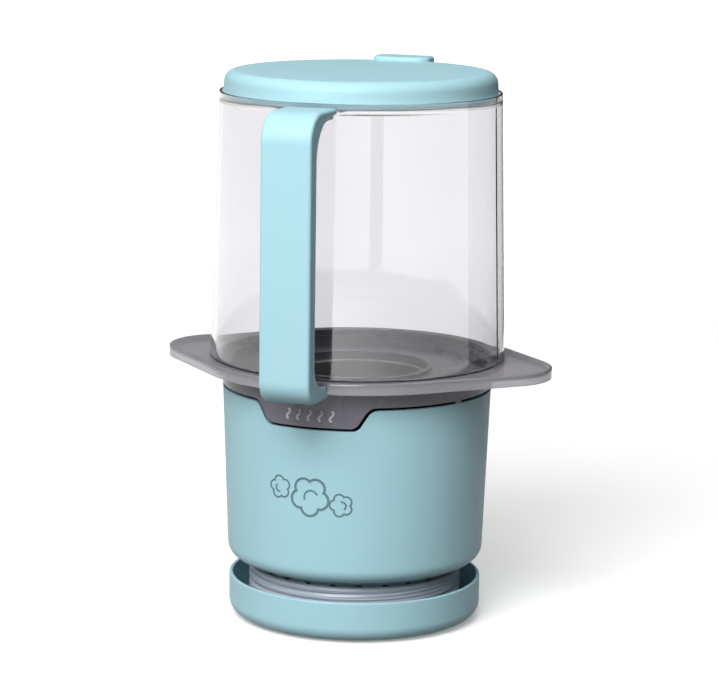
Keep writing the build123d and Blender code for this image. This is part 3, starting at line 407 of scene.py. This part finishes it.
# From the top turn, in and down behind the flat of the hub, to the boot of the plug
tail_out = [
    (0.0487, 0.0158, stack_z),
    (0.0459, 0.0210, stack_z),
    (0.0414, 0.0259, stack_z - 0.8 * MM),
    (0.0352, 0.0298, boot_z + 2.2 * MM),
    (0.0292, 0.0315, boot_z + 0.3 * MM),
    (boot_x - 1.0 * MM, boot_y, boot_z),
]
route = np.array([*lead_in, *winding, *tail_out])

curve = bpy.data.curves.new("cord_route", "CURVE")
curve.dimensions = "3D"
curve.resolution_u = 6
spline = curve.splines.new("NURBS")
spline.points.add(len(route) - 1)
spline.points.foreach_set("co", np.hstack([route, np.ones((len(route), 1))]).ravel())
spline.order_u = 3
spline.use_endpoint_u = True
carrier = bpy.data.objects.new("cord_route", curve)
line_mesh = bpy.data.meshes.new_from_object(carrier)
line = np.empty(len(line_mesh.vertices) * 3)
line_mesh.vertices.foreach_get("co", line)
line = line.reshape(-1, 3)
bpy.data.objects.remove(carrier)


# %% Cord jacket
core_points = 9
web_angle = 0.08 * pi


def figure_eight():
    """Outline of two circles of radius r that touch at the middle, one above and one below. Each
    is cut off at web_angle, about 14 degrees, short of the point where they touch, so a web about
    r / 2 wide joins them."""
    sweep = np.linspace(web_angle - pi / 2, 3 * pi / 2 - web_angle, core_points)
    top = np.stack([core_radius * np.cos(sweep), core_radius * (1 + np.sin(sweep))], axis=1)
    return np.vstack([top, -top])


def carried(section, path):
    """Carry (side, height) pairs along a path: point = path + side * across + height * up, where
    across is level and square to the path."""
    along = np.gradient(path, axis=0)
    across = np.cross(along, (0, 0, 1))
    across /= np.linalg.norm(across, axis=1)[:, None]
    side = section[None, :, 0, None] * across[:, None, :]
    height = section[None, :, 1, None] * np.array([0, 0, 1.0])
    return path[:, None, :] + side + height


jacket = carried(figure_eight(), line)
cord = tubes_piece("cord_wound", [(jacket, False)])
cord.data.materials.append(vinyl)
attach(cord, "base")
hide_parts("cord_coil", "cord_tail")

# %% [markdown]
# ## Printed pictures
#
# The real casing carries a pad-printed picture on the front and a smaller one on the label shield.
# Here they are generic: popped flakes for the casing, and five rising waves of warm air for the
# shield. Pad-printed ink is a film about a hundredth of a millimetre thick. It stands 0.06 mm
# proud here and goes as deep into the wall, so that the two surfaces stay clear of each other.
# Each stroke is a flat ribbon laid on the curved wall: a drawing in x and z is wrapped round the
# upright axis by turning x into an angle.

# %% Ink strokes
ink_lift = 0.06 * MM
casing_draft = 2.9 * MM
casing_corner = 7.5 * MM
shell_low, shell_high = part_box("body_shell")
wall_top_radius = shell_high[0]
wall_foot_radius = wall_top_radius - casing_draft
wall_foot_z = shell_low[2] + casing_corner


def casing_radius(z):
    """Radius of the drafted wall at height z, straight from its foot to its top."""
    share = (z - wall_foot_z) / (shell_high[2] - wall_foot_z)
    return wall_foot_radius + share * (wall_top_radius - wall_foot_radius)


def collar_radius(z):
    """Radius of the collar's upright wall, the same at every height z."""
    return np.full_like(z, wall_top_radius)


def stroke(x, z, width, closed, radius):
    """A ribbon of the given width along (x, z), wrapped on a wall: angle = x / wall radius, and
    point = (r sin angle, -r cos angle, z), with r just under and just over the wall's surface."""
    line = np.stack([x, z], axis=1)
    if closed:
        along = np.roll(line, -1, axis=0) - np.roll(line, 1, axis=0)
    else:
        along = np.gradient(line, axis=0)
    along /= np.linalg.norm(along, axis=1)[:, None]
    across = np.stack([along[:, 1], -along[:, 0]], axis=1) * width / 2
    flat = np.stack([line - across, line + across, line + across, line - across], axis=1)
    lift = np.array([-1, -1, 1, 1]) * ink_lift
    wall = radius(flat[..., 1])
    angle = flat[..., 0] / wall
    reach = wall + lift
    return np.stack([reach * np.sin(angle), -reach * np.cos(angle), flat[..., 1]], axis=-1), closed


flake_points = 180
curl_points = 24
lobes = 5
lobe_depth = 0.26
lobe_fullness = 0.7


def flake(x, z, size, turn):
    """Outline of a popped flake round (x, z): radius = size times (1 - depth + depth times
    |sin(lobes t / 2)| ** fullness), at the angle t + turn."""
    t = np.linspace(0, 2 * pi, flake_points, endpoint=False)
    bulge = np.abs(np.sin(lobes * t / 2)) ** lobe_fullness
    reach = size * (1 - lobe_depth + lobe_depth * bulge)
    return x + reach * np.cos(t + turn), z + reach * np.sin(t + turn)


def curl(x, z, size, start, stop):
    """An arc inside a flake, where two lobes fold over each other: a circle of radius size round
    (x, z), from the angle start to the angle stop."""
    t = np.linspace(start, stop, curl_points)
    return x + size * np.cos(t), z + size * np.sin(t)


# %% Flakes on the casing
ink = finish("slate_pad_ink", "#56727b", "#5d7881", 0.5)
picture_z = 73.0 * MM
big, small = 9.6, 5.6
thick, thin = 1.25 * MM, 0.9 * MM
# Millimetres from the middle of the picture, radius in millimetres, turn, and width of the ribbon
outlines = [
    (0.0, 0.0, big, 0.3, thick),
    (-16.0, 3.0, small, 1.1, thin),
    (15.5, -3.4, small, 0.0, thin),
]
# The same for the arcs inside them, with the angles where each starts and stops
curls = [(0.6, -0.4, 3.4, 0.4, 3.6), (-16.4, 2.6, 1.9, 2.2, 5.0), (15.9, -3.6, 1.9, 5.2, 8.2)]
strokes = [
    stroke(*flake(x * MM, picture_z + z * MM, size * MM, turn), width, True, casing_radius)
    for x, z, size, turn, width in outlines
]
strokes += [
    stroke(*curl(x * MM, picture_z + z * MM, size * MM, *angles), thin, False, casing_radius)
    for x, z, size, *angles in curls
]
flakes = tubes_piece("front_picture", strokes)
flakes.data.materials.append(ink)
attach(flakes, "base")

# %% Waves on the shield
pale_ink = finish("pale_pad_ink", "#c6c4cd", "#cccad3", 0.4)
wave_height = 5.2 * MM
wave_z = 113.0 * MM
wave_gap = 5.5 * MM
wave_sway = 0.9 * MM
wave_width = 1.1 * MM
wave_points = 40
# Each wave is x = its own middle + sway sin(2 pi share), over its height
rise_share = np.linspace(-0.5, 0.5, wave_points)
waves = [
    stroke(
        column * wave_gap + wave_sway * np.sin(2 * pi * rise_share),
        wave_z + wave_height * rise_share,
        wave_width,
        False,
        collar_radius,
    )
    for column in (-2, -1, 0, 1, 2)
]
warm_air = tubes_piece("shield_picture", waves)
warm_air.data.materials.append(pale_ink)
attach(warm_air, "base")

# %% [markdown]
# ## Studio
#
# The surround is a soft dome, brighter overhead than at the horizon and brighter on the left. One
# big soft light high in front gives the form its shading. A second one far behind lifts the back,
# and it is kept out of reflections so that it leaves no streak on the rim. The floor is a white
# sheet that glows by itself, a painted light, and glows less near the machine, a painted shade. So
# it stays white round a gentle shadow that is partly cast by the lights and partly painted. The
# machine mirrors it but takes no scattered light from it. A black card behind on the right keeps
# that edge dark against the white. It casts no shadow, and the camera can't see it, either
# straight or through the bowl.


# %% Floor and card
def flat_piece(name, corners, paint):
    """A staged four-sided sheet through the given corners."""
    mesh = bpy.data.meshes.new(name)
    mesh.from_pydata(corners, [], [(0, 1, 2, 3)])
    sheet = bpy.data.objects.new(name, mesh)
    bpy.context.scene.collection.objects.link(sheet)
    sheet.data.materials.append(paint)
    return sheet


floor_half = 40.0
# The floor glows, a painted light, with the first strength inside the first distance, and with
# the second strength outside the second one. The weaker glow near the machine is painted shade.
glow_from, glow_to = 0.12, 1.3
glow_near, glow_far = 0.24, 0.62
# A floor with painted light: it glows, and the glow is dimmer near the machine as painted shade
floor_paint = finish(
    "floor_painted_glow",
    "#f4f4f4",
    "#f1f1f1",
    0.9,
    Emission_Color=linear("#ffffff"),
)
floor_glow_tree = floor_paint.node_tree
# Painted shade: the glow grows with distance from the machine, so the floor is dimmer round it
spread = add_node(
    floor_glow_tree,
    "ShaderNodeVectorMath",
    [("Vector", add_node(floor_glow_tree, "ShaderNodeTexCoord").outputs["Object"])],
    operation="LENGTH",
)
glow = add_node(
    floor_glow_tree,
    "ShaderNodeMapRange",
    [("Value", spread.outputs["Value"])],
    From_Min=glow_from,
    From_Max=glow_to,
    To_Min=glow_near,
    To_Max=glow_far,
)
paint_shader = floor_glow_tree.nodes["Principled BSDF"]
floor_glow_tree.links.new(glow.outputs["Result"], paint_shader.inputs["Emission Strength"])
signs = ((-1, -1), (1, -1), (1, 1), (-1, 1))
floor = flat_piece("floor", [(x * floor_half, y * floor_half, 0) for x, y in signs], floor_paint)
floor.visible_diffuse = False

card_half = 0.55
card_height = 0.6
card_middle = Vector((0.36, 0.62, 0))
# Square to the line from the machine to the card
card_along = Vector((card_middle.y, -card_middle.x, 0)).normalized() * card_half
card_top = Vector((0, 0, card_height))
card_paint = finish("black_card", "#080808", "#0a0a0a", 0.9)
foot_left, foot_right = card_middle - card_along, card_middle + card_along
card = flat_piece(
    "card", [foot_left, foot_right, foot_right + card_top, foot_left + card_top], card_paint
)
card.visible_camera = False
card.visible_transmission = False
card.visible_shadow = False

# %% Dome and lights
horizon_light, zenith_light = 0.1, 0.66
left_light, right_light = 1.45, 0.75
world = bpy.data.worlds.new("studio")
world.use_nodes = True
sky = world.node_tree
sky.nodes.clear()
heading = add_node(
    sky,
    "ShaderNodeSeparateXYZ",
    [("Vector", add_node(sky, "ShaderNodeTexCoord").outputs["Generated"])],
)
overhead = add_node(
    sky,
    "ShaderNodeMapRange",
    [("Value", heading.outputs["Z"])],
    From_Min=0.0,
    From_Max=1.0,
    To_Min=horizon_light,
    To_Max=zenith_light,
)
leftward = add_node(
    sky,
    "ShaderNodeMapRange",
    [("Value", heading.outputs["X"])],
    From_Min=-1.0,
    From_Max=1.0,
    To_Min=left_light,
    To_Max=right_light,
)
brightness = add_node(sky, "ShaderNodeMath", operation="MULTIPLY")
sky.links.new(overhead.outputs["Result"], brightness.inputs[0])
sky.links.new(leftward.outputs["Result"], brightness.inputs[1])
dome = add_node(sky, "ShaderNodeBackground", [("Strength", brightness.outputs["Value"])])
add_node(sky, "ShaderNodeOutputWorld", [("Surface", dome.outputs["Background"])])
bpy.context.scene.world = world
bpy.context.scene.view_settings.view_transform = "Standard"


def soft_light(name, place, target, size, watts):
    """A square area light at place that faces target."""
    data = bpy.data.lights.new(name, "AREA")
    data.size = size
    data.energy = watts
    lamp = bpy.data.objects.new(name, data)
    lamp.location = place
    facing = Vector(target) - Vector(place)
    lamp.rotation_mode = "QUATERNION"
    lamp.rotation_quaternion = facing.to_track_quat("-Z", "Y")
    bpy.context.scene.collection.objects.link(lamp)
    return lamp


aim = (0, 0, 0.14)
soft_light("key_light", place=(0.0, -1.3, 1.12), target=aim, size=1.1, watts=36.5)
rear = soft_light("rear_light", place=(-0.6, 4.0, 2.5), target=aim, size=2.0, watts=32)
rear.visible_glossy = False
